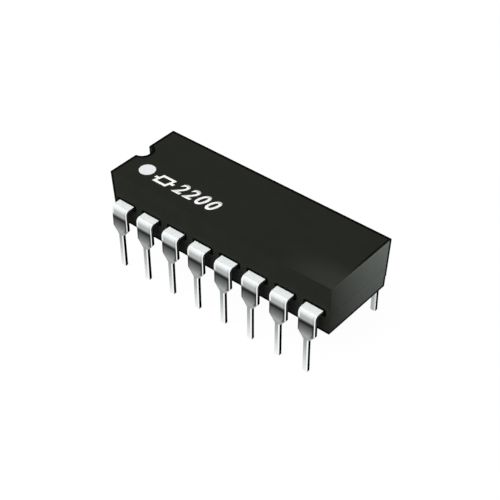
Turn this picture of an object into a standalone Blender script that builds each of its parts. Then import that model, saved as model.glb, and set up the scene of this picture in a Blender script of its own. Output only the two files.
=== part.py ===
# A sixteen-lead moulded thick film resistor network: eight printed resistors on an alumina
# substrate, soldered to two rows of bent leads and moulded into a black epoxy body.
# Metres, +Z up. The origin is on the plane of the lead tips, below the middle of the body.
# The index notch is at -X, and leads 1 to 8 run along -Y from -X to +X.

import math

import bmesh
import bpy
from mathutils import Matrix

MM = 0.001

# Leads
LEADS_PER_ROW = 8
LEAD_PITCH = 2.54 * MM
ROW_SPACING = 8.18 * MM
LEAD_THICKNESS = 0.25 * MM
LEAD_WIDTH = 1.50 * MM
PIN_WIDTH = 0.46 * MM
PIN_LENGTH = 3.03 * MM
TAPER_HEIGHT = 0.66 * MM
WIDE_DROP = 1.765 * MM
BEND_RADIUS = 0.225 * MM
TIP_CHAMFER = 0.08 * MM
LEAD_EDGE_ROUND = 0.02 * MM
SHOULDER_REACH = 0.64 * MM

# Lead ends inside the body
TAB_WIDTH = 1.10 * MM
TAB_OVERLAP = 0.75 * MM
TAB_NECK = 0.20 * MM

# Moulded body
MOULD_ROOF = 2.37 * MM
MOULD_FLOOR = 0.955 * MM
END_WALL = 0.655 * MM
SIDE_WALL = 0.92 * MM
UPPER_DRAFT = math.radians(2.0)
LOWER_DRAFT = math.radians(2.0)
STEP_HEIGHT = 1.08 * MM
STEP_DEPTH = 0.02 * MM
FLASH_HEIGHT = 0.05 * MM
FLASH_PROUD = 0.006 * MM
BODY_EDGE_ROUND = 0.04 * MM
NOTCH_RADIUS = 0.73 * MM
NOTCH_DEPTH = 1.20 * MM
EJECTOR_RADIUS = 0.80 * MM
EJECTOR_DEPTH = 0.06 * MM
EJECTOR_SPACING = 12.70 * MM

# Ceramic substrate and what is printed and soldered on it
SUBSTRATE_THICKNESS = 0.635 * MM
PAD_WIDTH = 1.36 * MM
PAD_THICKNESS = 0.03 * MM
PAD_EDGE_MARGIN = 0.08 * MM
SOLDER_BED = 0.04 * MM
SOLDER_RISE = 0.16 * MM
SOLDER_FOOT = 0.11 * MM
SOLDER_TOP_SHARE = 0.45
FILM_WIDTH = 1.00 * MM
FILM_THICKNESS = 0.03 * MM
FILM_OVERLAP = 0.20 * MM
TRIM_KERF = 0.06 * MM
TRIM_DEPTH = 0.42 * MM
TRIM_LEG = 0.50 * MM
GLAZE_THICKNESS = 0.03 * MM
GLAZE_BORDER = 0.12 * MM

# Clearances
SEAT_GAP = 0.02 * MM
SLOT_GAP = 0.02 * MM
PRINT_GAP = 0.08 * MM
CUT_OVERRUN = 0.50 * MM

BEND_STEPS = 8
ROUND_SEGMENTS = 3
ROUND_PROFILE = 0.5
STRIP_ROUND_SEGMENTS = 2
CIRCLE_SEGMENTS = 48
STRIP_ROUND_ANGLE = math.radians(50)
SMOOTH_ANGLE = math.radians(35)

# Heights worked out upwards from the lead tips, then downwards through the stack below the leads
TAPER_TOP = PIN_LENGTH + TAPER_HEIGHT
LEAD_PLANE = TAPER_TOP + WIDE_DROP
LEAD_TOP = LEAD_PLANE + LEAD_THICKNESS / 2
LEAD_UNDERSIDE = LEAD_PLANE - LEAD_THICKNESS / 2
SOLDER_BASE = LEAD_UNDERSIDE - SEAT_GAP - SOLDER_BED
PAD_BASE = SOLDER_BASE - SEAT_GAP - PAD_THICKNESS
SUBSTRATE_TOP = PAD_BASE - SEAT_GAP
SUBSTRATE_BASE = SUBSTRATE_TOP - SUBSTRATE_THICKNESS
CAVITY_BASE = SUBSTRATE_BASE - SEAT_GAP
CAVITY_TOP = LEAD_TOP + SEAT_GAP
BODY_BASE = CAVITY_BASE - MOULD_FLOOR
BODY_TOP = CAVITY_TOP + MOULD_ROOF
STEP_PLANE = BODY_BASE + STEP_HEIGHT

# Half sizes in plan
LAST_LEAD = (LEADS_PER_ROW - 1) * LEAD_PITCH / 2
SUBSTRATE_HALF_LENGTH = LAST_LEAD + PAD_WIDTH / 2 + PAD_EDGE_MARGIN
BODY_HALF_LENGTH = SUBSTRATE_HALF_LENGTH + END_WALL
BODY_HALF_WIDTH = ROW_SPACING / 2 - SHOULDER_REACH
SUBSTRATE_HALF_WIDTH = BODY_HALF_WIDTH - SIDE_WALL
TAB_END = SUBSTRATE_HALF_WIDTH - TAB_OVERLAP
SOLDER_END = TAB_END - SOLDER_FOOT
FILM_END = SOLDER_END - PRINT_GAP
PAD_OUTER = SUBSTRATE_HALF_WIDTH - PAD_EDGE_MARGIN
PAD_INNER = FILM_END - FILM_OVERLAP


def clear_scene():
    for obj in list(bpy.data.objects):
        bpy.data.objects.remove(obj, do_unlink=True)


def new_collection(name):
    collection = bpy.data.collections.new(name)
    bpy.context.scene.collection.children.link(collection)
    return collection


def principled(name, color, roughness, metallic=0.0):
    material = bpy.data.materials.new(name)
    material.use_nodes = True
    shader = material.node_tree.nodes["Principled BSDF"]
    shader.inputs["Base Color"].default_value = (*color, 1.0)
    shader.inputs["Roughness"].default_value = roughness
    shader.inputs["Metallic"].default_value = metallic
    return material


def mesh_from(bm, name):
    bmesh.ops.recalc_face_normals(bm, faces=bm.faces)
    mesh = bpy.data.meshes.new(name)
    bm.to_mesh(mesh)
    bm.free()
    return mesh


def place(name, mesh, collection, material=None, location=(0, 0, 0), turn=0.0):
    obj = bpy.data.objects.new(name, mesh)
    obj.location = location
    obj.rotation_euler.z = turn
    collection.objects.link(obj)
    if material and not mesh.materials:
        mesh.materials.append(material)
    return obj


def as_cutter(obj):
    obj.hide_render = True
    obj.display_type = "WIRE"
    return obj


def boolean(obj, other, operation):
    modifier = obj.modifiers.new(f"{operation.lower()} {other.name}", "BOOLEAN")
    modifier.operation = operation
    modifier.solver = "EXACT"
    if isinstance(other, bpy.types.Collection):
        modifier.operand_type = "COLLECTION"
        modifier.collection = other
    else:
        modifier.object = other


def baked_mesh(obj, name):
    # The object's modifiers worked into one mesh, which the copies then share
    graph = bpy.context.evaluated_depsgraph_get()
    mesh = bpy.data.meshes.new_from_object(obj.evaluated_get(graph))
    mesh.name = name
    bpy.data.objects.remove(obj, do_unlink=True)
    return mesh


def box_mesh(name, low, high):
    size = [b - a for a, b in zip(low, high)]
    centre = [(a + b) / 2 for a, b in zip(low, high)]
    bm = bmesh.new()
    bmesh.ops.create_cube(bm, size=1.0, matrix=Matrix.Translation(centre) @ Matrix.Diagonal((*size, 1.0)))
    return mesh_from(bm, name)


def cylinder_mesh(name, radius, z_low, z_high):
    bm = bmesh.new()
    middle = Matrix.Translation((0, 0, (z_low + z_high) / 2))
    bmesh.ops.create_cone(bm, cap_ends=True, segments=CIRCLE_SEGMENTS, radius1=radius, radius2=radius,
                          depth=z_high - z_low, matrix=middle)
    return mesh_from(bm, name)


def drafted_block_mesh(name, half_length, half_width, z_top, z_base, draft, round_rim):
    # A block whose walls lean inwards going down, with its corners and one rim rounded
    inset = (z_top - z_base) * math.tan(draft)
    size = (2 * half_length, 2 * half_width, z_top - z_base, 1.0)
    middle = Matrix.Translation((0, 0, (z_top + z_base) / 2))
    bm = bmesh.new()
    bmesh.ops.create_cube(bm, size=1.0, matrix=middle @ Matrix.Diagonal(size))
    mid_height = (z_top + z_base) / 2
    for vert in bm.verts:
        if vert.co.z < mid_height:
            vert.co.x -= math.copysign(inset, vert.co.x)
            vert.co.y -= math.copysign(inset, vert.co.y)
    rim_side = {"top": 1, "base": -1, None: 0}[round_rim]
    rounded = []
    for edge in bm.edges:
        sides = [math.copysign(1, vert.co.z - mid_height) for vert in edge.verts]
        if sides[0] != sides[1] or sides[0] == rim_side:
            rounded.append(edge)
    bmesh.ops.bevel(bm, geom=rounded, offset=BODY_EDGE_ROUND, segments=ROUND_SEGMENTS,
                    profile=ROUND_PROFILE, affect="EDGES", clamp_overlap=True)
    return mesh_from(bm, name)


def strip_mesh(name, stations, thickness, collection, edge_round=0.0):
    # A strip of sheet that follows stations of (width, y, z), solid and centred on them
    bm = bmesh.new()
    rows = []
    for width, y, z in stations:
        rows.append([bm.verts.new((side * width / 2, y, z)) for side in (-1, 1)])
    for first, second in zip(rows, rows[1:]):
        bm.faces.new((first[0], first[1], second[1], second[0]))
    strip = place(name, mesh_from(bm, name), collection)
    solidify = strip.modifiers.new("thickness", "SOLIDIFY")
    solidify.thickness = thickness
    solidify.offset = 0.0
    solidify.use_even_offset = True
    if edge_round:
        bevel = strip.modifiers.new("rounded edges", "BEVEL")
        bevel.width = edge_round
        bevel.segments = STRIP_ROUND_SEGMENTS
        bevel.limit_method = "ANGLE"
        bevel.angle_limit = STRIP_ROUND_ANGLE
    mesh = baked_mesh(strip, name)
    mesh.shade_smooth()
    mesh.set_sharp_from_angle(angle=SMOOTH_ANGLE)
    return mesh


def tab_stations(extra_width=0.0):
    # The level end of a lead: a narrow tab over the substrate that widens in the body's wall
    neck_start = SUBSTRATE_HALF_WIDTH + SEAT_GAP
    return [
        (TAB_WIDTH + extra_width, -TAB_END, LEAD_PLANE),
        (TAB_WIDTH + extra_width, -neck_start, LEAD_PLANE),
        (LEAD_WIDTH + extra_width, -(neck_start + TAB_NECK), LEAD_PLANE),
    ]


def lead_stations():
    stations = tab_stations()
    row_plane = ROW_SPACING / 2
    for step in range(BEND_STEPS + 1):
        angle = math.radians(90) * step / BEND_STEPS
        y = -(row_plane - BEND_RADIUS + BEND_RADIUS * math.sin(angle))
        z = LEAD_PLANE - BEND_RADIUS + BEND_RADIUS * math.cos(angle)
        stations.append((LEAD_WIDTH, y, z))
    stations.append((LEAD_WIDTH, -row_plane, TAPER_TOP))
    stations.append((PIN_WIDTH, -row_plane, PIN_LENGTH))
    stations.append((PIN_WIDTH, -row_plane, TIP_CHAMFER))
    stations.append((PIN_WIDTH - 2 * TIP_CHAMFER, -row_plane, 0.0))
    return stations


def lead_places():
    # Each lead's number, its x, and the turn that takes a piece of the front row to it
    for index in range(LEADS_PER_ROW):
        yield index + 1, index * LEAD_PITCH - LAST_LEAD, 0.0
    for index in range(LEADS_PER_ROW):
        yield LEADS_PER_ROW + index + 1, LAST_LEAD - index * LEAD_PITCH, math.pi


def place_each_lead(name, mesh, collection, material):
    for number, x, turn in lead_places():
        place(f"{name}_{number:02d}", mesh, collection, material, (x, 0, 0), turn)


def add_body(parts, cutters, slots, material):
    upper = drafted_block_mesh("moulded_body", BODY_HALF_LENGTH, BODY_HALF_WIDTH, BODY_TOP, STEP_PLANE,
                               UPPER_DRAFT, "top")
    body = place("moulded_body", upper, parts, material)

    def side_inset(z):
        return (BODY_TOP - z) * math.tan(UPPER_DRAFT)

    # The lower part of the body stands back from the upper part by the step
    lower_top = LEAD_PLANE
    lower_inset = side_inset(STEP_PLANE) + STEP_DEPTH - (lower_top - STEP_PLANE) * math.tan(LOWER_DRAFT)
    lower = drafted_block_mesh("lower_body", BODY_HALF_LENGTH - lower_inset, BODY_HALF_WIDTH - lower_inset,
                               lower_top, BODY_BASE, LOWER_DRAFT, "base")
    boolean(body, as_cutter(place("lower_body", lower, cutters)), "UNION")

    # The mould's parting line is a fine raised line round the body at the leads
    flash_inset = side_inset(LEAD_PLANE) - FLASH_PROUD
    flash = drafted_block_mesh("parting_flash", BODY_HALF_LENGTH - flash_inset, BODY_HALF_WIDTH - flash_inset,
                               LEAD_PLANE + FLASH_HEIGHT / 2, LEAD_PLANE - FLASH_HEIGHT / 2, 0.0, None)
    boolean(body, as_cutter(place("parting_flash", flash, cutters)), "UNION")

    notch = cylinder_mesh("index_notch", NOTCH_RADIUS, BODY_TOP - NOTCH_DEPTH, BODY_TOP + CUT_OVERRUN)
    notch = place("index_notch", notch, cutters, location=(-BODY_HALF_LENGTH, 0, 0))
    boolean(body, as_cutter(notch), "DIFFERENCE")

    ejector = cylinder_mesh("ejector_mark", EJECTOR_RADIUS, BODY_BASE - CUT_OVERRUN,
                            BODY_BASE + EJECTOR_DEPTH)
    for side in (-1, 1):
        mark = place("ejector_mark", ejector, cutters, location=(side * EJECTOR_SPACING / 2, 0, 0))
        boolean(body, as_cutter(mark), "DIFFERENCE")

    reach_x = SUBSTRATE_HALF_LENGTH + SEAT_GAP
    reach_y = SUBSTRATE_HALF_WIDTH + SEAT_GAP
    cavity = box_mesh("substrate_cavity", (-reach_x, -reach_y, CAVITY_BASE), (reach_x, reach_y, CAVITY_TOP))
    boolean(body, as_cutter(place("substrate_cavity", cavity, cutters)), "DIFFERENCE")

    # Each lead leaves through a slot of its own outline with the slot's clearance all round
    stations = tab_stations(2 * SLOT_GAP)
    stations.append((LEAD_WIDTH + 2 * SLOT_GAP, -(BODY_HALF_WIDTH + CUT_OVERRUN), LEAD_PLANE))
    slot = strip_mesh("lead_slot", stations, LEAD_THICKNESS + 2 * SLOT_GAP, slots)
    for number, x, turn in lead_places():
        as_cutter(place(f"lead_slot_{number:02d}", slot, slots, None, (x, 0, 0), turn))
    boolean(body, slots, "DIFFERENCE")


def add_substrate(parts, material):
    low = (-SUBSTRATE_HALF_LENGTH, -SUBSTRATE_HALF_WIDTH, SUBSTRATE_BASE)
    high = (SUBSTRATE_HALF_LENGTH, SUBSTRATE_HALF_WIDTH, SUBSTRATE_TOP)
    place("ceramic_substrate", box_mesh("ceramic_substrate", low, high), parts, material)


def add_leads(parts, material):
    mesh = strip_mesh("lead", lead_stations(), LEAD_THICKNESS, parts, LEAD_EDGE_ROUND)
    place_each_lead("lead", mesh, parts, material)


def add_pads(parts, material):
    low = (-PAD_WIDTH / 2, -PAD_OUTER, PAD_BASE)
    high = (PAD_WIDTH / 2, -PAD_INNER, PAD_BASE + PAD_THICKNESS)
    place_each_lead("termination_pad", box_mesh("termination_pad", low, high), parts, material)


def add_solder(parts, cutters, material):
    # A fillet that climbs the sides and the end of the tab, and a bed below it
    half_width = TAB_WIDTH / 2 + SOLDER_FOOT
    outer = SUBSTRATE_HALF_WIDTH - 2 * PAD_EDGE_MARGIN
    top = LEAD_UNDERSIDE + SOLDER_RISE
    bm = bmesh.new()
    size = (2 * half_width, outer - SOLDER_END, top - SOLDER_BASE, 1.0)
    middle = (0, -(outer + SOLDER_END) / 2, (top + SOLDER_BASE) / 2)
    bmesh.ops.create_cube(bm, size=1.0, matrix=Matrix.Translation(middle) @ Matrix.Diagonal(size))
    lean = SOLDER_FOOT * SOLDER_TOP_SHARE
    for vert in bm.verts:
        if vert.co.z > middle[2]:
            vert.co.x -= math.copysign(lean, vert.co.x)
            if vert.co.y > middle[1]:
                vert.co.y -= lean
    joint = place("solder_joint", mesh_from(bm, "solder_joint"), cutters)

    bed = box_mesh("tab_bed", (-TAB_WIDTH / 2 - SEAT_GAP, -SUBSTRATE_HALF_WIDTH, LEAD_UNDERSIDE - SEAT_GAP),
                   (TAB_WIDTH / 2 + SEAT_GAP, -TAB_END + SEAT_GAP, LEAD_TOP))
    bed = as_cutter(place("tab_bed", bed, cutters))
    boolean(joint, bed, "DIFFERENCE")
    mesh = baked_mesh(joint, "solder_joint")
    place_each_lead("solder_joint", mesh, parts, material)


def add_resistor_films(parts, cutters, material):
    # Each film runs from a front pad to the back pad facing it, and steps up onto both
    low = SUBSTRATE_TOP + SEAT_GAP + FILM_THICKNESS / 2
    high = PAD_BASE + PAD_THICKNESS + SEAT_GAP + FILM_THICKNESS / 2
    step_top = PAD_INNER - SEAT_GAP
    step_foot = step_top - 2 * FILM_THICKNESS
    half = [(FILM_END, high), (step_top, high), (step_foot, low)]
    stations = [(FILM_WIDTH, -y, z) for y, z in half]
    stations += [(FILM_WIDTH, y, z) for y, z in reversed(half)]
    film = place("resistor_film", strip_mesh("resistor_film", stations, FILM_THICKNESS, cutters), cutters)

    # The laser trims the film with an L-shaped kerf: in from one side, then along the current's path
    edge = FILM_WIDTH / 2
    kerf_low = SUBSTRATE_TOP
    kerf_high = high + FILM_THICKNESS
    plunge = box_mesh("trim_plunge", (edge - TRIM_DEPTH, -TRIM_LEG / 2, kerf_low),
                      (edge + CUT_OVERRUN, -TRIM_LEG / 2 + TRIM_KERF, kerf_high))
    leg = box_mesh("trim_leg", (edge - TRIM_DEPTH - TRIM_KERF / 2, -TRIM_LEG / 2, kerf_low),
                   (edge - TRIM_DEPTH + TRIM_KERF / 2, TRIM_LEG / 2, kerf_high))
    for mesh in (plunge, leg):
        boolean(film, as_cutter(place(mesh.name, mesh, cutters)), "DIFFERENCE")
    mesh = baked_mesh(film, "resistor_film")
    for number, x, turn in lead_places():
        if turn == 0.0:
            place(f"resistor_film_{number}", mesh, parts, material, (x, 0, 0))


def add_overglaze(parts, material):
    reach_x = LAST_LEAD + FILM_WIDTH / 2 + GLAZE_BORDER
    base = PAD_BASE + PAD_THICKNESS + FILM_THICKNESS + 2 * SEAT_GAP
    mesh = box_mesh("glass_overglaze", (-reach_x, -FILM_END, base),
                    (reach_x, FILM_END, base + GLAZE_THICKNESS))
    place("glass_overglaze", mesh, parts, material)


def main():
    clear_scene()
    parts = new_collection("thick_film_resistor_network")
    cutters = new_collection("cutters")
    slots = new_collection("lead_slots")

    epoxy = principled("black_epoxy", (0.020, 0.021, 0.018), 0.55)
    alumina = principled("alumina", (0.86, 0.85, 0.82), 0.60)
    tinned = principled("tinned_lead", (0.78, 0.78, 0.77), 0.30, 1.0)
    silver = principled("silver_conductor", (0.70, 0.69, 0.66), 0.45, 1.0)
    solder = principled("solder", (0.62, 0.62, 0.61), 0.35, 1.0)
    resistive = principled("resistive_film", (0.035, 0.033, 0.032), 0.45)
    glass = principled("green_glaze", (0.08, 0.22, 0.13), 0.20)

    add_body(parts, cutters, slots, epoxy)
    add_substrate(parts, alumina)
    add_leads(parts, tinned)
    add_pads(parts, silver)
    add_solder(parts, cutters, solder)
    add_resistor_films(parts, cutters, resistive)
    add_overglaze(parts, glass)


main()
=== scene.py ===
import math

import bmesh
import bpy
from mathutils import Matrix, Vector


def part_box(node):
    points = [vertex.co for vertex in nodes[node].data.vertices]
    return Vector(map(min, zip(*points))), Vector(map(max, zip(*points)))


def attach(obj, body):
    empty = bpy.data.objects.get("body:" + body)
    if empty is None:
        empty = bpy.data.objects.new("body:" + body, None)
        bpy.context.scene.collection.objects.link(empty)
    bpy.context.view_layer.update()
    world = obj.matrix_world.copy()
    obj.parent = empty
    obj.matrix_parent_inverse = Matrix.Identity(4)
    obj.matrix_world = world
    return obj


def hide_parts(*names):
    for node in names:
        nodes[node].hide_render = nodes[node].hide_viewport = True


# Sixteen-lead thick film resistor network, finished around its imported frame.
# Metres, +Z up. Leads 1 to 8 stand along -Y, and the index notch is at -X.
# Lengths in the settings are millimetres, and mm turns them into metres.
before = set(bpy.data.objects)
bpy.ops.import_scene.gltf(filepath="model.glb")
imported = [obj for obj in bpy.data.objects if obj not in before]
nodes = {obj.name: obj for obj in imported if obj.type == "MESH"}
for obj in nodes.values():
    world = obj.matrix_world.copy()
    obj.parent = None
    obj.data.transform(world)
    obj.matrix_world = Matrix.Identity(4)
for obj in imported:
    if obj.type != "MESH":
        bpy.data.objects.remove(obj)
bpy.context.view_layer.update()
mm = 0.001
print("frame loaded:", len(nodes), "nodes")

scene = bpy.context.scene
scene.view_settings.view_transform = "Standard"


def boxInMm(node):
    # A CAD node's lowest and highest corners
    return [[axis / mm for axis in corner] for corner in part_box(node)]


bodyLow, bodyHigh = boxInMm("moulded_body")
leadLow, leadHigh = boxInMm("lead_01")
leadSheet = 0.25             # thickness of the leads
white = (1, 1, 1, 1)
noiseSpan = (0.3, 0.7)       # nearly all of a noise lies between these
faceTurn = (0.5, 0.9)        # where a wall begins to face a way, and where it does in full
bandSoftness = 0.1           # share of a band's width over which its border fades


def newFinish(name, **values):
    # A finish starts with the values that are the same all over the surface
    finish = bpy.data.materials.new(name)
    finish.use_nodes = True
    shader = finish.node_tree.nodes["Principled BSDF"]
    for socket, value in values.items():
        shader.inputs[socket.replace("_", " ")].default_value = value
    return finish, finish.node_tree, shader


def addNode(tree, kind, inputs, **settings):
    node = tree.nodes.new(kind)
    for key, value in settings.items():
        setattr(node, key, value)
    for socket, value in inputs.items():
        if isinstance(value, bpy.types.NodeSocket):
            tree.links.new(value, node.inputs[socket])
        else:
            node.inputs[socket].default_value = value
    return node


def calc(tree, operation, first, second=0.0, third=0.0):
    inputs = {0: first, 1: second, 2: third}
    return addNode(tree, "ShaderNodeMath", inputs, operation=operation).outputs[0]


def plus(tree, first, second):
    return calc(tree, "ADD", first, second)


def minus(tree, first, second):
    return calc(tree, "SUBTRACT", first, second)


def absolute(tree, value):
    return calc(tree, "ABSOLUTE", value)


def notBelowZero(tree, value):
    return calc(tree, "MAXIMUM", value, 0.0)


def times(tree, first, *others):
    for other in others:
        first = calc(tree, "MULTIPLY", first, other)
    return first


def highest(tree, first, *others):
    for other in others:
        first = calc(tree, "MAXIMUM", first, other)
    return first


def remap(tree, value, fromLow, fromHigh, toLow=0.0, toHigh=1.0, smooth=True):
    kind = "SMOOTHSTEP" if smooth else "LINEAR"
    inputs = {"Value": value, "From Min": fromLow, "From Max": fromHigh, "To Min": toLow, "To Max": toHigh}
    return addNode(tree, "ShaderNodeMapRange", inputs, interpolation_type=kind).outputs["Result"]


def vary(tree, pattern, low, high, smooth=True):
    # Lets a value wander from low to high with a noise
    return remap(tree, pattern, *noiseSpan, low, high, smooth)


def edgeBand(tree, distance, width):
    # 1 within the width of an edge and 0 beyond it
    return remap(tree, distance, width * (1 + bandSoftness), width * (1 - bandSoftness))


def towards(tree, direction):
    # 1 where the surface squarely faces this way
    return remap(tree, direction, *faceTurn)


def lengthOf(tree, first, second):
    pair = addNode(tree, "ShaderNodeCombineXYZ", {0: first, 1: second}).outputs["Vector"]
    return addNode(tree, "ShaderNodeVectorMath", {0: pair}, operation="LENGTH").outputs["Value"]


def blendColor(tree, amount, first, second):
    return addNode(tree, "ShaderNodeMix", {0: amount, 6: first, 7: second}, data_type="RGBA").outputs[2]


def blendNumber(tree, amount, first, second):
    return addNode(tree, "ShaderNodeMix", {0: amount, 2: first, 3: second}).outputs[0]


def shadeColor(tree, color, shade):
    inputs = {0: color, "Scale": shade}
    return addNode(tree, "ShaderNodeVectorMath", inputs, operation="SCALE").outputs["Vector"]


def noise(tree, coords, scale, detail=3.0, roughness=0.55):
    inputs = {"Vector": coords, "Scale": scale, "Detail": detail, "Roughness": roughness}
    return addNode(tree, "ShaderNodeTexNoise", inputs).outputs["Fac"]


def cellDistance(tree, coords, scale):
    return addNode(tree, "ShaderNodeTexVoronoi", {"Vector": coords, "Scale": scale}).outputs["Distance"]


def ramp(tree, value, stops):
    node = addNode(tree, "ShaderNodeValToRGB", {"Fac": value})
    line = node.color_ramp
    while len(line.elements) < len(stops):
        line.elements.new(0.5)
    for element, (place, color) in zip(line.elements, stops):
        element.position = place
        element.color = (*color, 1.0)
    return node.outputs["Color"]


def inMillimetres(tree, stretch=(1, 1, 1)):
    # Object coordinates, counted in millimetres
    place = tree.nodes.new("ShaderNodeTexCoord")
    scale = [axis / mm for axis in stretch]
    mapping = addNode(tree, "ShaderNodeMapping", {"Vector": place.outputs["Object"], "Scale": scale})
    return mapping.outputs["Vector"]


def splitAxes(tree, vector):
    split = addNode(tree, "ShaderNodeSeparateXYZ", {"Vector": vector})
    return [split.outputs[axis] for axis in "XYZ"]


def facing(tree):
    # Which way the surface looks
    return splitAxes(tree, tree.nodes.new("ShaderNodeTexCoord").outputs["Normal"])


def bump(tree, shader, height, depth, strength=0.5):
    node = addNode(tree, "ShaderNodeBump", {"Height": height, "Distance": depth * mm, "Strength": strength})
    tree.links.new(node.outputs["Normal"], shader.inputs["Normal"])


def wire(tree, shader, color, roughness):
    tree.links.new(color, shader.inputs["Base Color"])
    tree.links.new(roughness, shader.inputs["Roughness"])


cameraSettings = {
    "location": (45.16, -53.23, 62.26),
    "rotation": (49.97, 0.13, 39.99),      # degrees
    "focalPixels": 1231.2,
    "pictureWidth": 500,
    "clip": (1, 20000),
}


def addCamera(settings):
    data = bpy.data.cameras.new("camera")
    data.sensor_fit = "HORIZONTAL"
    data.lens = data.sensor_width * settings["focalPixels"] / settings["pictureWidth"]
    data.clip_start, data.clip_end = (end * mm for end in settings["clip"])
    camera = bpy.data.objects.new("camera", data)
    camera.location = Vector(settings["location"]) * mm
    camera.rotation_euler = [math.radians(angle) for angle in settings["rotation"]]
    scene.collection.objects.link(camera)
    scene.camera = camera


studioSettings = {
    "worldLight": 0.36,
    "lamps": [  # name, place, side, watts
        ("key", (-60, -170, 170), 300, 0.75),
        ("fill", (170, -60, 90), 200, 0.04),
        ("back", (40, 190, 120), 200, 0.07),
    ],
    "aim": (0, 0, 4),
    "floorSize": 4000,
    "floorColor": (0.86, 0.86, 0.86, 1.0),
    "floorRoughness": 0.9,
    "floorShare": 0.93,      # how much of the plain white a direct look at the floor gets
    "floorGlow": 1.03,
}


def seenDirectly(tree):
    # Camera rays and the mirror rays of metal and glass see the plain white background
    rays = tree.nodes.new("ShaderNodeLightPath").outputs
    return highest(tree, rays["Is Camera Ray"], rays["Is Glossy Ray"], rays["Is Transmission Ray"])


def addWorld(settings):
    world = bpy.data.worlds.new("world")
    scene.world = world
    world.use_nodes = True
    tree = world.node_tree
    background = tree.nodes["Background"]
    background.inputs["Color"].default_value = white
    strength = remap(tree, seenDirectly(tree), 0.0, 1.0, settings["worldLight"], 1.0, smooth=False)
    tree.links.new(strength, background.inputs["Strength"])


def addFloor(settings):
    bm = bmesh.new()
    bmesh.ops.create_grid(bm, x_segments=1, y_segments=1, size=settings["floorSize"] / 2 * mm)
    mesh = bpy.data.meshes.new("floor")
    bm.to_mesh(mesh)
    bm.free()
    floor = bpy.data.objects.new("floor", mesh)
    scene.collection.objects.link(floor)
    finish, tree, shader = newFinish("floorPaper", Base_Color=settings["floorColor"],
                                     Roughness=settings["floorRoughness"], Specular_IOR_Level=0.0)
    glow = addNode(tree, "ShaderNodeEmission", {"Color": white, "Strength": settings["floorGlow"]})
    share = times(tree, seenDirectly(tree), settings["floorShare"])
    both = addNode(tree, "ShaderNodeMixShader", {0: share, 1: shader.outputs[0], 2: glow.outputs[0]})
    clear = tree.nodes.new("ShaderNodeBsdfTransparent")
    below = tree.nodes.new("ShaderNodeNewGeometry").outputs["Backfacing"]    # open to a view from below
    paper = addNode(tree, "ShaderNodeMixShader", {0: below, 1: both.outputs[0], 2: clear.outputs[0]})
    tree.links.new(paper.outputs[0], tree.nodes["Material Output"].inputs["Surface"])
    mesh.materials.append(finish)


def addLamps(settings):
    for name, place, side, watts in settings["lamps"]:
        data = bpy.data.lights.new(name, "AREA")
        data.size = side * mm
        data.energy = watts
        lamp = bpy.data.objects.new(name, data)
        lamp.visible_glossy = False        # the plating mirrors the plain white room alone
        lamp.location = Vector(place) * mm
        aim = Vector(settings["aim"]) - Vector(place)
        lamp.rotation_euler = aim.to_track_quat("-Z", "Y").to_euler()
        scene.collection.objects.link(lamp)


addCamera(cameraSettings)
addWorld(studioSettings)
addFloor(studioSettings)
addLamps(studioSettings)
print("camera, floor and lamps placed")


leadForm = {
    "pitch": 2.54,
    "perRow": 8,
    "thickness": leadSheet,
    "rowPlane": -leadLow[1] - leadSheet / 2,      # the middle of the sheet, from the body's centre line
    "levelPlane": leadHigh[2] - leadSheet / 2,
    "bendRadius": 0.225,
    "bendSteps": 12,
    "tabHalf": 0.55,
    "wideHalf": (leadHigh[0] - leadLow[0]) / 2,
    "pinHalf": 0.23,
    "tipHalf": 0.15,
    "tabEnd": -leadHigh[1],
    "neckStart": 2.55,
    "neckEnd": 2.75,
    "taperTop": 3.69,
    "taperBase": 3.03,
    "tipTop": 0.08,
    "edgeRound": 0.012,
    "edgeSteps": 2,
    "edgeAngle": 50,         # degrees
}
lastLead = (leadForm["perRow"] - 1) * leadForm["pitch"] / 2    # from the middle of a row to its end leads


def fromLeadLine(tree, x, form, shift=0.0):
    # How far along the row a point lies from the middle of the nearest lead, or from a line beside it
    start = lastLead + form["pitch"] - shift
    return calc(tree, "PINGPONG", plus(tree, x, start), form["pitch"] / 2)


def setFinish(node, finish):
    nodes[node].data.materials.clear()
    nodes[node].data.materials.append(finish)


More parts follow.
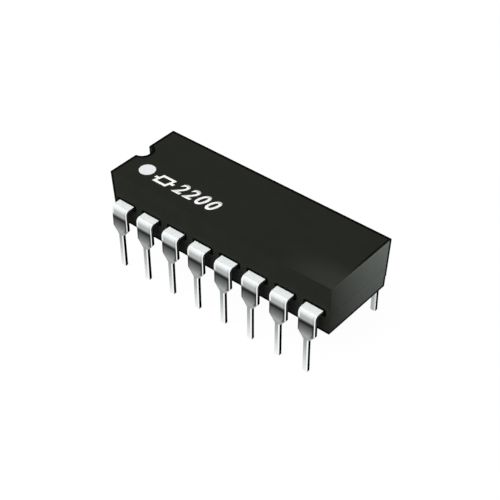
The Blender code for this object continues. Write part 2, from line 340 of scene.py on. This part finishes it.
epoxySettings = {
    "dark": (0.0150, 0.0166, 0.0128, 1.0),
    "light": (0.0164, 0.0181, 0.0140, 1.0),
    "cloudScale": 0.45,
    "cloudSpread": (0.35, 0.65),
    # painted shade: the side walls are darkened, as the lamps light them more than the top
    "sideShade": 0.87,
    "paintedFill": (0.0180, 0.0195, 0.0160, 1.0),    # painted light: the side walls are lifted lighter low down beside the leads, against the shade they fall in
    "paintedFillTop": (6.6, 5.5),
    "polished": (0.040, 0.043, 0.038, 1.0),      # the two ejector marks underneath
    "ejectorPlace": 6.35,
    "ejectorRadius": (0.80, 0.736),          # where the polish ends, and where it is full
    "paintedSheen": (0.172, 0.191, 0.176, 1.0),      # painted sheen: a grey reflection painted on the end wall, lighter towards its far top corner
    "sheenTurn": (0.35, 0.85),                # it lies on the wall that faces away from the notch
    "sheenLean": 0.30,                        # it thins out towards the near bottom corner
    "sheenReach": (-4.35, 3.45),
    "sheenDrop": (4.4, 0.0, 0.82, 1.0),       # distances below the top, and the sheen's share there
    "sheenLip": (0.40, 0.15, 0.0, 0.10),
    "cornerSheen": 0.095,                     # painted highlight: a little of the sheen reaches round the near top corner
    "cornerX": (5.2, 10.2),
    "cornerY": (-0.4, -2.9),
    "mottleScale": 1.3,
    "mottle": (0.94, 1.04),
    "rim": (0.0, 0.0, 0.0, 1.0),             # black lines painted along the mould's sharp edges, and painted shadow round the leads
    "topRim": 0.25,
    "sheenEndTopRim": 0.17,
    "sheenEndRimFade": (-1.8, 1.0, 0.0, 0.85),   # places across the sheen's end, and the outline's share there
    "wallRim": 0.27,
    "baseRim": 0.25,
    "leadShadowLine": 0.24,                         # painted shadow line on the wall round each lead
    "specular": 0.02,
    "roughness": (0.50, 0.64),
    "grainScale": 11.0,                      # grains per millimetre
    "grainDepth": 0.0035,
    "stepSpan": (4.68, 4.66),
    "stepDepth": 0.02,
    "wallLean": 0.0349,                      # how far the walls lean in for each millimetre down
    "notchRadius": 0.73,
}


def paintedEpoxySheen(tree, settings, point, turn):
    # Painted sheen: grey reflection painted on the end wall away from the notch, and a painted highlight
    # round the near top corner
    x, y, z = point
    depth = minus(tree, bodyHigh[2], z)
    leanedY = minus(tree, y, times(tree, depth, settings["sheenLean"]))
    across = remap(tree, leanedY, *settings["sheenReach"], smooth=False)
    drop = plus(tree, remap(tree, depth, *settings["sheenDrop"], smooth=False),
                remap(tree, depth, *settings["sheenLip"]))
    onEnd = times(tree, remap(tree, turn[0], *settings["sheenTurn"]), across, drop)
    onTop = times(tree, towards(tree, turn[2]), remap(tree, x, *settings["cornerX"]),
                  remap(tree, y, *settings["cornerY"]))
    return calc(tree, "MULTIPLY_ADD", onTop, settings["cornerSheen"], onEnd)


def outlinesAndLeadShadow(tree, settings, form, point, turn):
    # Black outlines painted round the top but for its near corner, down the far uprights and round the
    # base, and a painted shadow line round the leads
    x, y, z = point
    depth = minus(tree, bodyHigh[2], z)
    stepIn = remap(tree, z, *settings["stepSpan"], 0.0, settings["stepDepth"])
    inset = calc(tree, "MULTIPLY_ADD", depth, settings["wallLean"], stepIn)
    reachX = minus(tree, bodyHigh[0], inset)
    reachY = minus(tree, bodyHigh[1], inset)
    fromFar = minus(tree, reachY, y)
    fromNotchEnd = plus(tree, reachX, x)
    fromSheenEnd = minus(tree, reachX, x)
    fromNotchMiddle = lengthOf(tree, plus(tree, x, bodyHigh[0]), y)
    fromNotch = minus(tree, fromNotchMiddle, settings["notchRadius"])
    fromBase = minus(tree, z, bodyLow[2])
    leadAside = minus(tree, fromLeadLine(tree, x, form), form["wideHalf"])
    leadAbove = minus(tree, absolute(tree, minus(tree, z, form["levelPlane"])), form["thickness"] / 2)
    fromLead = lengthOf(tree, notBelowZero(tree, leadAside), notBelowZero(tree, leadAbove))

    sheenEndRim = times(tree, edgeBand(tree, fromSheenEnd, settings["sheenEndTopRim"]),
                       remap(tree, y, *settings["sheenEndRimFade"]))
    otherRims = [edgeBand(tree, gap, settings["topRim"]) for gap in (fromFar, fromNotchEnd, fromNotch)]
    topRims = highest(tree, sheenEndRim, *otherRims)
    endFace, sideFace = (towards(tree, absolute(tree, turn[axis])) for axis in (0, 1))
    upright = remap(tree, absolute(tree, turn[2]), *reversed(faceTurn))
    sideRims = highest(tree, edgeBand(tree, fromNotchEnd, settings["wallRim"]),
                       edgeBand(tree, fromLead, settings["leadShadowLine"]))
    wallRims = highest(tree, times(tree, endFace, edgeBand(tree, fromFar, settings["wallRim"])),
                       times(tree, sideFace, sideRims),
                       times(tree, upright, edgeBand(tree, fromBase, settings["baseRim"])))
    return blendNumber(tree, towards(tree, turn[2]), wallRims, topRims)


def ejectorPolish(tree, settings, point, turn):
    x, y, _ = point
    fromMiddle = lengthOf(tree, minus(tree, absolute(tree, x), settings["ejectorPlace"]), y)
    underneath = remap(tree, turn[2], *(-share for share in faceTurn))
    return times(tree, remap(tree, fromMiddle, *settings["ejectorRadius"]), underneath)


def blackEpoxy(settings, form):
    finish, tree, shader = newFinish("blackEpoxy", Specular_IOR_Level=settings["specular"])
    place = inMillimetres(tree)
    point = splitAxes(tree, place)
    turn = facing(tree)
    sideFace = towards(tree, absolute(tree, turn[1]))

    cloud = remap(tree, noise(tree, place, settings["cloudScale"], detail=4.0), *settings["cloudSpread"])
    color = blendColor(tree, cloud, settings["dark"], settings["light"])
    # painted shade on the side walls
    color = shadeColor(tree, color, remap(tree, sideFace, 0.0, 1.0, 1.0, settings["sideShade"]))
    # painted light lifts the side walls low down beside the leads
    paintedFill = times(tree, sideFace, remap(tree, point[2], *settings["paintedFillTop"]))
    color = blendColor(tree, paintedFill, color, settings["paintedFill"])
    color = blendColor(tree, ejectorPolish(tree, settings, point, turn), color, settings["polished"])
    # painted sheen and highlight, broken up by a noise
    mottle = vary(tree, noise(tree, place, settings["mottleScale"]), *settings["mottle"], smooth=False)
    paintedSheen = times(tree, paintedEpoxySheen(tree, settings, point, turn), mottle)
    color = blendColor(tree, paintedSheen, color, settings["paintedSheen"])
    # black outlines painted along the edges, and a painted shadow line round each lead
    color = blendColor(tree, outlinesAndLeadShadow(tree, settings, form, point, turn), color, settings["rim"])

    grain = noise(tree, place, settings["grainScale"], detail=4.0, roughness=0.6)
    wire(tree, shader, color, vary(tree, grain, *settings["roughness"]))
    bump(tree, shader, grain, settings["grainDepth"])
    return finish


setFinish("moulded_body", blackEpoxy(epoxySettings, leadForm))
print("body finished")


def ofKind(items, kind):
    return [item for item in items if isinstance(item, kind)]


def extendStrip(bm, edge, halfWidth, y, z):
    # Pulls the open end of the strip out to a new place and width
    made = bmesh.ops.extrude_edge_only(bm, edges=[edge])["geom"]
    for vert in ofKind(made, bmesh.types.BMVert):
        vert.co = Vector((math.copysign(halfWidth, vert.co.x), y, z))
    return ofKind(made, bmesh.types.BMEdge)[0]


def leadStrip(form):
    # The middle surface of one lead of the near row, in millimetres, from its tab to its tip
    bm = bmesh.new()
    level, row, radius = form["levelPlane"], form["rowPlane"], form["bendRadius"]
    start = [bm.verts.new((side * form["tabHalf"], -form["tabEnd"], level)) for side in (-1, 1)]
    edge = bm.edges.new(start)
    edge = extendStrip(bm, edge, form["tabHalf"], -form["neckStart"], level)
    edge = extendStrip(bm, edge, form["wideHalf"], -form["neckEnd"], level)
    edge = extendStrip(bm, edge, form["wideHalf"], -(row - radius), level)
    turned = bmesh.ops.spin(bm, geom=[edge, *edge.verts], cent=(0, -(row - radius), level - radius),
                            axis=(1, 0, 0), angle=math.radians(90), steps=form["bendSteps"])
    edge = ofKind(turned["geom_last"], bmesh.types.BMEdge)[0]
    edge = extendStrip(bm, edge, form["wideHalf"], -row, form["taperTop"])
    edge = extendStrip(bm, edge, form["pinHalf"], -row, form["taperBase"])
    edge = extendStrip(bm, edge, form["pinHalf"], -row, form["tipTop"])
    extendStrip(bm, edge, form["tipHalf"], -row, 0.0)
    return bm


def runHeight(form, y, z):
    # How far along the strip a point lies from the tip, in millimetres
    bendStart, bendBase = form["rowPlane"] - form["bendRadius"], form["levelPlane"] - form["bendRadius"]
    if z < bendBase:
        return z
    if abs(y) > bendStart:
        return bendBase + form["bendRadius"] * math.atan2(z - bendBase, abs(y) - bendStart)
    return bendBase + form["bendRadius"] * math.pi / 2 + bendStart - abs(y)


def leadMesh(name, x, side, form):
    bm = leadStrip(form)
    # Each lead's map holds millimetres: u in from its right-hand edge, v up from its tip
    lay = bm.loops.layers.uv.new("leadRun")
    for face in bm.faces:
        for loop in face.loops:
            across = abs(loop.vert.co.x) - loop.vert.co.x
            loop[lay].uv = (across, runHeight(form, loop.vert.co.y, loop.vert.co.z))
    if side > 0:
        bmesh.ops.scale(bm, vec=(1, -1, 1), verts=bm.verts)
        bmesh.ops.reverse_faces(bm, faces=bm.faces)
    bmesh.ops.translate(bm, vec=(x, 0, 0), verts=bm.verts)
    bmesh.ops.scale(bm, vec=(mm, mm, mm), verts=bm.verts)
    mesh = bpy.data.meshes.new(name)
    bm.to_mesh(mesh)
    bm.free()
    mesh.shade_smooth()
    return mesh


def makeLead(number, form, finishes):
    name, node = f"formed_lead_{number:02d}", f"lead_{number:02d}"
    low, high = boxInMm(node)
    mesh = leadMesh(name, (low[0] + high[0]) / 2, math.copysign(1, low[1]), form)
    for finish in finishes:
        mesh.materials.append(finish)
    lead = bpy.data.objects.new(name, mesh)
    scene.collection.objects.link(lead)
    sheet = lead.modifiers.new("sheet", "SOLIDIFY")
    sheet.thickness = form["thickness"] * mm
    sheet.offset = 0.0
    sheet.use_even_offset = True
    sheet.material_offset_rim = 1
    rolled = lead.modifiers.new("rolled edges", "BEVEL")
    rolled.width = form["edgeRound"] * mm
    rolled.segments = form["edgeSteps"]
    rolled.limit_method = "ANGLE"
    rolled.angle_limit = math.radians(form["edgeAngle"])
    rolled.harden_normals = True
    rolled.material = 1
    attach(lead, "root")
    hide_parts(node)


tinSettings = {
    "tint": (0.955, 1.0, 0.995),
    "paintedTones": [                     # height along the lead, and how bright the plating is painted there: painted reflection, white at the bend and the tip, falling to a black line below the bend
        (0.00, 0.93), (0.80, 0.76), (1.60, 0.58), (2.40, 0.42), (3.03, 0.34), (3.40, 0.40),
        (3.69, 0.245), (3.98, 0.157), (4.22, 0.095), (4.40, 0.047), (4.50, 0.003), (4.59, 0.003),
        (4.67, 0.050), (4.73, 0.130), (4.81, 0.340), (4.90, 0.450), (5.10, 0.460), (5.18, 0.510),
        (5.25, 0.610), (5.30, 0.750), (5.36, 0.920), (5.43, 0.985), (5.64, 1.000), (6.60, 1.000),
    ],
    "fullRun": 7.8,
    "paintedHighlight": (0.97, 0.98, 0.98, 1.0),   # painted highlight down the right-hand edge, but not along the taper
    "edgeWidth": (0.15, 0.105),              # on the pin, and on the wide part
    "edgeBlur": 0.015,
    "pinHighlight": (0.10, -0.05),                # where the highlight starts and is full, from the taper's base
    "wideHighlight": (-0.10, 0.0),                # and from the taper's top
    "shadeLine": (0.002, 0.002, 0.002, 1.0),    # painted shade line beside the highlight, deep below the dark band
    "shadeLineWidth": 0.165,
    "shadeLineDepth": (0.17, 0.72),
    "shadeLineRun": (3.30, 3.62),
    "shadeLineTop": (5.45, 5.35),
    "leftHighlight": 0.16,                        # painted highlight down the other edge of the bend
    "leftHighlightDepth": 0.85,
    "leftHighlightRise": (4.80, 4.92),
    "leftHighlightFall": (5.50, 5.38),
    "leftShadeLine": 0.13,
    "leftShadeLineDepth": 0.70,
    "leftShadeLineRun": (3.10, 4.30),
    "bandEnd": (4.67, 4.61),
    "inner": (0.57, 0.60, 0.595, 1.0),       # the side towards the body is duller, and even
    "innerFade": (-1.0, -3.5),
    "innerMatt": 0.5,
    "shoulder": (5.40, 5.62),                # where the bend gives way to the level, matt part
    "shoulderRoughness": 0.3,
    "roughness": (0.26, 0.40),
    "streakScale": (16.0, 0.9, 1.0),
    "streakShade": (0.25, 0.75, 0.93, 1.05),
    "streakDepth": 0.0012,
    "blotchScale": 3.2,
    "blotchShade": (0.97, 1.03),
}


def leadLines(tree, settings, color, height, pastEdge, fromLeft):
    # Painted shade lines beside both edges, and a painted highlight down the left one
    depth = remap(tree, height, *settings["bandEnd"], *settings["shadeLineDepth"])
    leftDepth = remap(tree, height, *settings["bandEnd"], 0.0, settings["leftShadeLineDepth"])
    shadeLines = [
        (edgeBand(tree, pastEdge, settings["shadeLineWidth"]), remap(tree, height, *settings["shadeLineRun"]),
         depth, remap(tree, height, *settings["shadeLineTop"])),
        (edgeBand(tree, fromLeft, settings["leftShadeLine"]), remap(tree, height, *settings["leftShadeLineRun"]),
         leftDepth),
    ]
    for parts in shadeLines:
        color = blendColor(tree, times(tree, *parts), color, settings["shadeLine"])
    ends = [remap(tree, height, *settings[end]) for end in ("leftHighlightRise", "leftHighlightFall")]
    leftHighlight = times(tree, edgeBand(tree, fromLeft, settings["leftHighlight"]), *ends, settings["leftHighlightDepth"])
    return blendColor(tree, leftHighlight, color, settings["paintedHighlight"])


def tinPlate(settings, form):
    finish, tree, shader = newFinish("tinPlate", Metallic=1.0)
    run = addNode(tree, "ShaderNodeUVMap", {}, uv_map="leadRun").outputs["UV"]
    fromEdge, height, _ = splitAxes(tree, run)
    # the brightness along the lead is painted reflection and shade
    stops = [(place / settings["fullRun"], [tone * channel for channel in settings["tint"]])
             for place, tone in settings["paintedTones"]]
    color = ramp(tree, calc(tree, "DIVIDE", height, settings["fullRun"]), stops)

    taper = form["taperBase"], form["taperTop"]
    span = remap(tree, height, *taper, form["pinHalf"] * 2, form["wideHalf"] * 2, smooth=False)
    pastEdge = minus(tree, fromEdge, remap(tree, height, *taper, *settings["edgeWidth"]))
    color = leadLines(tree, settings, color, height, pastEdge, minus(tree, span, fromEdge))

    place = inMillimetres(tree)
    outward = times(tree, splitAxes(tree, place)[1], facing(tree)[1])    # below 0 towards the body
    inward = remap(tree, outward, *settings["innerFade"])
    color = blendColor(tree, inward, color, settings["inner"])

    # painted highlight down the right-hand edge
    wear = remap(tree, pastEdge, settings["edgeBlur"], -settings["edgeBlur"])
    onPin = remap(tree, height, *(form["taperBase"] + past for past in settings["pinHighlight"]))
    onWide = remap(tree, height, *(form["taperTop"] + past for past in settings["wideHighlight"]))
    color = blendColor(tree, times(tree, wear, plus(tree, onPin, onWide)), color, settings["paintedHighlight"])

    drawn = addNode(tree, "ShaderNodeMapping", {"Vector": run, "Scale": settings["streakScale"]})
    streak = noise(tree, drawn.outputs["Vector"], scale=1.0, detail=4.0, roughness=0.6)
    blotch = noise(tree, place, settings["blotchScale"])
    shade = times(tree, remap(tree, streak, *settings["streakShade"], smooth=False),
                  vary(tree, blotch, *settings["blotchShade"], smooth=False))
    level = remap(tree, height, *settings["shoulder"])
    satin = calc(tree, "MULTIPLY_ADD", level, settings["shoulderRoughness"],
                 vary(tree, streak, *settings["roughness"]))
    wire(tree, shader, shadeColor(tree, color, shade), satin)
    matt = highest(tree, level, times(tree, inward, settings["innerMatt"]))
    tree.links.new(minus(tree, 1.0, matt), shader.inputs["Metallic"])
    bump(tree, shader, streak, settings["streakDepth"])
    return finish


shearSettings = {
    "tinned": (0.62, 0.64, 0.64),
    "tinnedShade": (0.8, 1.05),
    "dark": (0.0, 0.0, 0.0, 1.0),
    "light": (0.002, 0.002, 0.002, 1.0),
    "shadedTurn": (0.0, 0.3),             # how far an edge faces +X where the painted shade starts and is full
    "core": (0.08, 0.085, 0.085, 1.0),     # a grey band in the middle of the sheet's thickness
    "coreEdge": (0.072, 0.009),            # where it starts and is full, from the middle
    "coreFade": (4.20, 4.90),              # heights between which it comes in
    "grainScale": 14.0,
    "grainStretch": (1, 1, 0.15),
    "grainDepth": 0.003,
    "roughness": (0.40, 0.60),
}


def shearedEdge(settings, form):
    # The stamped edges that face +X get painted shade, near black, with a grey band at the bend
    finish, tree, shader = newFinish("shearedEdge", Specular_IOR_Level=0.0)
    grain = noise(tree, inMillimetres(tree, settings["grainStretch"]), settings["grainScale"])
    color = blendColor(tree, grain, settings["dark"], settings["light"])
    _, y, z = splitAxes(tree, inMillimetres(tree))
    beyond = minus(tree, absolute(tree, y), form["rowPlane"] - form["bendRadius"])
    above = minus(tree, z, form["levelPlane"] - form["bendRadius"])
    reach = lengthOf(tree, notBelowZero(tree, beyond), notBelowZero(tree, above))
    offMiddle = absolute(tree, minus(tree, reach, form["bendRadius"]))
    core = times(tree, remap(tree, offMiddle, *settings["coreEdge"]), remap(tree, z, *settings["coreFade"]))
    color = blendColor(tree, core, color, settings["core"])
    # painted shade: the edges that face +X go near black
    shadedSide = remap(tree, facing(tree)[0], *settings["shadedTurn"])
    plated = shadeColor(tree, settings["tinned"], vary(tree, grain, *settings["tinnedShade"], smooth=False))
    color = blendColor(tree, shadedSide, plated, color)
    wire(tree, shader, color, vary(tree, grain, *settings["roughness"]))
    tree.links.new(minus(tree, 1.0, shadedSide), shader.inputs["Metallic"])
    bump(tree, shader, grain, settings["grainDepth"])
    return finish


leadFinishes = [tinPlate(tinSettings, leadForm), shearedEdge(shearSettings, leadForm)]
for nearLead in range(1, leadForm["perRow"] + 1):
    for number in (nearLead, nearLead + leadForm["perRow"]):
        makeLead(number, leadForm, leadFinishes)
print("leads formed")


ceramicSettings = {
    "color": (0.86, 0.85, 0.82, 1.0),
    "speck": (0.62, 0.58, 0.52, 1.0),
    "speckScale": 9.0,
    "speckSpread": (0.68, 0.76),
    "scored": (0.78, 0.765, 0.73, 1.0),
    "scoreReach": (0.144, 0.12),   # how far up the sides the snapped score line's rough part goes
    "cloudScale": 0.8,
    "cloudShade": (0.96, 1.02),
    "sinterScale": 26.0,
    "sinterDepth": 0.004,
    "roughness": (0.48, 0.66),
}


def firedAlumina(settings):
    finish, tree, shader = newFinish("firedAlumina", Specular_IOR_Level=0.4, Subsurface_Weight=0.05)
    place = inMillimetres(tree)
    _, _, z = splitAxes(tree, place)
    specks = remap(tree, noise(tree, place, settings["speckScale"], detail=2.0), *settings["speckSpread"])
    color = blendColor(tree, specks, settings["color"], settings["speck"])
    base = boxInMm("ceramic_substrate")[0][2]
    broken = remap(tree, z, *(base + reach for reach in settings["scoreReach"]))
    color = blendColor(tree, broken, color, settings["scored"])
    cloud = vary(tree, noise(tree, place, settings["cloudScale"]), *settings["cloudShade"], smooth=False)
    sinter = noise(tree, place, settings["sinterScale"], roughness=0.65)
    wire(tree, shader, shadeColor(tree, color, cloud), vary(tree, sinter, *settings["roughness"]))
    bump(tree, shader, sinter, settings["sinterDepth"])
    return finish


weaveSettings = {"threads": 12.0, "depth": 0.002}    # screen threads per millimetre


def screenWeave(tree, place, settings):
    # The faint square mark that the printing screen leaves in a fired paste
    x, y, _ = splitAxes(tree, place)
    waves = [calc(tree, "SINE", times(tree, axis, settings["threads"] * 2 * math.pi)) for axis in (x, y)]
    return remap(tree, times(tree, *waves), -1.0, 1.0, smooth=False)


silverSettings = {
    "color": (0.70, 0.69, 0.66, 1.0),
    "tarnish": (0.42, 0.38, 0.31, 1.0),
    "tarnishScale": 2.4,
    "tarnishSpread": (0.50, 0.72, 0.0, 0.6),
    "weaveShade": (0.94, 1.03),
    "wearScale": 16.0,
    "roughness": (0.38, 0.56),
}


def firedSilver(settings):
    finish, tree, shader = newFinish("firedSilver", Metallic=1.0)
    place = inMillimetres(tree)
    dulled = noise(tree, place, settings["tarnishScale"], detail=4.0)
    tarnish = remap(tree, dulled, *settings["tarnishSpread"])
    color = blendColor(tree, tarnish, settings["color"], settings["tarnish"])
    weave = screenWeave(tree, place, weaveSettings)
    color = shadeColor(tree, color, remap(tree, weave, 0.0, 1.0, *settings["weaveShade"]))
    wear = noise(tree, place, settings["wearScale"])
    wire(tree, shader, color, vary(tree, wear, *settings["roughness"]))
    bump(tree, shader, weave, weaveSettings["depth"])
    return finish


filmSettings = {
    "color": (0.030, 0.028, 0.028, 1.0),
    "grain": (0.060, 0.056, 0.052, 1.0),
    "grainScale": 18.0,
    "grainSpread": (0.55, 0.70),
    "kerfGlow": (0.110, 0.085, 0.060, 1.0),   # glassy brown lip that the laser melts beside its cut
    "kerfShift": 0.08,                        # from the middle of the film to the cut's long leg
    "kerfReach": (0.10, 0.03),                # where the lip starts and is full, from the cut
    "legEnd": (0.35, 0.25),
    "roughness": (0.30, 0.48),
}


def resistorPaste(settings, form):
    finish, tree, shader = newFinish("resistorPaste", Specular_IOR_Level=0.45)
    place = inMillimetres(tree)
    x, y, _ = splitAxes(tree, place)
    grains = remap(tree, noise(tree, place, settings["grainScale"], detail=2.0), *settings["grainSpread"])
    color = blendColor(tree, grains, settings["color"], settings["grain"])
    fromLine = fromLeadLine(tree, x, form, settings["kerfShift"])
    fromCut = calc(tree, "MINIMUM", fromLine, minus(tree, form["pitch"] / 2, fromLine))
    beside = times(tree, remap(tree, fromCut, *settings["kerfReach"]),
                   remap(tree, absolute(tree, y), *settings["legEnd"]))
    color = blendColor(tree, beside, color, settings["kerfGlow"])
    weave = screenWeave(tree, place, weaveSettings)
    wire(tree, shader, color, remap(tree, weave, 0.0, 1.0, *settings["roughness"]))
    bump(tree, shader, weave, weaveSettings["depth"])
    return finish


glazeSettings = {
    "thin": (0.10, 0.27, 0.16, 1.0),
    "thick": (0.05, 0.17, 0.10, 1.0),
    "cloudScale": 0.9,
    "cloudSpread": (0.35, 0.65),
    "bubble": (0.20, 0.38, 0.26, 1.0),
    "bubbleScale": 7.0,
    "bubbleEdge": (0.10, 0.06),
    "rippleScale": 3.5,
    "rippleDepth": 0.004,
    "transmission": 0.25,
    "roughness": (0.10, 0.24),
}


def greenGlaze(settings):
    finish, tree, shader = newFinish("greenGlaze", Transmission_Weight=settings["transmission"], IOR=1.52)
    place = inMillimetres(tree)
    cloud = remap(tree, noise(tree, place, settings["cloudScale"]), *settings["cloudSpread"])
    color = blendColor(tree, cloud, settings["thin"], settings["thick"])
    bubbles = remap(tree, cellDistance(tree, place, settings["bubbleScale"]), *settings["bubbleEdge"])
    color = blendColor(tree, bubbles, color, settings["bubble"])
    ripple = noise(tree, place, settings["rippleScale"], detail=2.0)
    wire(tree, shader, color, vary(tree, ripple, *settings["roughness"]))
    bump(tree, shader, ripple, settings["rippleDepth"])
    return finish


solderSettings = {
    "color": (0.66, 0.66, 0.65, 1.0),
    "frost": (0.46, 0.47, 0.48, 1.0),
    "frostScale": 2.0,
    "frostSpread": (0.4, 0.6),
    "crystalScale": 9.0,
    "crystalSpread": (0.2, 0.7),
    "crystalShare": 0.4,
    "flowScale": 5.0,
    "flowDepth": 0.006,
    "roughness": (0.22, 0.46),
}


def reflowedSolder(settings):
    finish, tree, shader = newFinish("reflowedSolder", Metallic=1.0)
    place = inMillimetres(tree)
    crystals = cellDistance(tree, place, settings["crystalScale"])
    patches = remap(tree, noise(tree, place, settings["frostScale"]), *settings["frostSpread"])
    frost = times(tree, remap(tree, crystals, *settings["crystalSpread"]), patches)
    color = blendColor(tree, frost, settings["color"], settings["frost"])
    flow = noise(tree, place, settings["flowScale"])
    wire(tree, shader, color, vary(tree, flow, *settings["roughness"]))
    surface = calc(tree, "MULTIPLY_ADD", crystals, settings["crystalShare"], flow)
    bump(tree, shader, surface, settings["flowDepth"])
    return finish


insideFinishes = {
    "ceramic_substrate": firedAlumina(ceramicSettings),
    "termination_pad": firedSilver(silverSettings),
    "resistor_film": resistorPaste(filmSettings, leadForm),
    "glass_overglaze": greenGlaze(glazeSettings),
    "solder_joint": reflowedSolder(solderSettings),
}
for node in nodes:
    for start, finish in insideFinishes.items():
        if node.startswith(start):
            setFinish(node, finish)
print("inner pieces finished")


printSettings = {
    "sunk": 0.002,           # the ink keys into the moulded grain
    "inkHeight": 0.012,
    "slant": 0.30,
    "dotPlace": (-8.29, -1.57),
    "dotRadius": 0.645,
    "dotSides": 72,
    "value": "2200",         # 220 ohms, in the four-figure code of printed resistors
    "valueLow": (-5.22, -2.33),
    "valueHigh": (-1.20, -1.04),
    "valueWeight": 0.022,
    "valueSpacing": 1.24,
    "valueSteps": 6,         # points on each curve of a figure
    "valueMerge": 1e-5,      # in the font's own units, as the weight is
    "signPlace": (-6.37, -1.76),
    "signBox": (1.26, 1.02),
    "signWall": 0.21,
    "signTail": 0.28,
}


def raiseInk(bm, settings):
    # Gives a flat print its thickness and puts it on the marked face
    made = bmesh.ops.extrude_face_region(bm, geom=bm.faces[:])["geom"]
    thick = settings["inkHeight"] + settings["sunk"]
    bmesh.ops.translate(bm, vec=(0, 0, thick), verts=ofKind(made, bmesh.types.BMVert))
    bmesh.ops.recalc_face_normals(bm, faces=bm.faces)
    bmesh.ops.translate(bm, vec=(0, 0, bodyHigh[2] - settings["sunk"]), verts=bm.verts)
    bmesh.ops.scale(bm, vec=(mm, mm, mm), verts=bm.verts)


def keepPrint(name, bm, settings, finish):
    raiseInk(bm, settings)
    mesh = bpy.data.meshes.new(name)
    bm.to_mesh(mesh)
    bm.free()
    mesh.materials.append(finish)
    piece = bpy.data.objects.new(name, mesh)
    scene.collection.objects.link(piece)
    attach(piece, "root")


def printDot(settings, finish):
    bm = bmesh.new()
    centre = Matrix.Translation((*settings["dotPlace"], 0))
    bmesh.ops.create_circle(bm, cap_ends=True, segments=settings["dotSides"], radius=settings["dotRadius"],
                            matrix=centre)
    keepPrint("pin_one_dot", bm, settings, finish)


def printSign(settings, finish):
    # The plain drawing sign of a resistor: a box with a tail at each end
    bm = bmesh.new()
    width, height = settings["signBox"]
    wall, tail = settings["signWall"], settings["signTail"]
    bmesh.ops.create_grid(bm, x_segments=1, y_segments=1, size=0.5)
    bmesh.ops.scale(bm, vec=(width, height, 1), verts=bm.verts)
    inner = bm.faces[:]
    bmesh.ops.inset_region(bm, faces=inner, thickness=wall, use_even_offset=True, use_boundary=True)
    bmesh.ops.delete(bm, geom=inner, context="FACES")
    for side in (-1, 1):
        middle = Matrix.Translation((side * (width + tail) / 2, 0, 0))
        bmesh.ops.create_grid(bm, x_segments=1, y_segments=1, size=0.5,
                              matrix=middle @ Matrix.Diagonal((tail, wall, 1, 1)))
    slant = Matrix(((1, settings["slant"], 0, 0), (0, 1, 0, 0), (0, 0, 1, 0), (0, 0, 0, 1)))
    bmesh.ops.transform(bm, matrix=slant, verts=bm.verts)
    bmesh.ops.translate(bm, vec=(*settings["signPlace"], 0), verts=bm.verts)
    keepPrint("resistor_sign", bm, settings, finish)


def flatFigures(settings):
    words = bpy.data.curves.new("valueWords", "FONT")
    words.body = settings["value"]
    words.shear = settings["slant"]
    words.offset = settings["valueWeight"]
    words.space_character = settings["valueSpacing"]
    words.resolution_u = settings["valueSteps"]
    words.fill_mode = "FRONT"
    writing = bpy.data.objects.new("valueWords", words)
    scene.collection.objects.link(writing)
    bpy.context.view_layer.update()
    flat = bpy.data.meshes.new_from_object(writing.evaluated_get(bpy.context.evaluated_depsgraph_get()))
    bpy.data.objects.remove(writing)
    bm = bmesh.new()
    bm.from_mesh(flat)
    bpy.data.meshes.remove(flat)
    bmesh.ops.remove_doubles(bm, verts=bm.verts, dist=settings["valueMerge"])
    return bm


def printValue(settings, finish):
    # The figures are stretched to fill their own box on the face
    bm = flatFigures(settings)
    low, high = ([pick(vert.co[axis] for vert in bm.verts) for axis in (0, 1)] for pick in (min, max))
    fit = [(b - a) / (d - c) for a, b, c, d in zip(settings["valueLow"], settings["valueHigh"], low, high)]
    bmesh.ops.translate(bm, vec=(-low[0], -low[1], 0), verts=bm.verts)
    bmesh.ops.scale(bm, vec=(*fit, 1), verts=bm.verts)
    bmesh.ops.translate(bm, vec=(*settings["valueLow"], 0), verts=bm.verts)
    keepPrint("value_code", bm, settings, finish)


inkSettings = {
    "mark": (0.96, 0.96, 0.955),
    "dot": (0.80, 0.815, 0.83),
    "coverScale": 5.0,
    "cover": (0.30, 0.75, 1.0, 0.95),      # how much a thin place in the ink dulls it
    "fineScale": 18.0,
    "fineShade": (0.98, 1.0),
    "thinRoughness": 0.62,
    "fullRoughness": 0.5,
    "depth": 0.003,
}


def printedInk(name, tone, settings):
    finish, tree, shader = newFinish(name, Specular_IOR_Level=0.3)
    place = inMillimetres(tree)
    cover = remap(tree, noise(tree, place, settings["coverScale"], detail=4.0), *settings["cover"])
    grain = noise(tree, place, settings["fineScale"], detail=2.0)
    fine = vary(tree, grain, *settings["fineShade"], smooth=False)
    full, thin = settings["cover"][2:]
    wire(tree, shader, shadeColor(tree, tone, times(tree, cover, fine)),
         remap(tree, cover, thin, full, settings["thinRoughness"], settings["fullRoughness"], smooth=False))
    bump(tree, shader, cover, settings["depth"])
    return finish


markInk = printedInk("whiteInk", inkSettings["mark"], inkSettings)
printDot(printSettings, printedInk("dotInk", inkSettings["dot"], inkSettings))
printSign(printSettings, markInk)
printValue(printSettings, markInk)
print("marking printed")
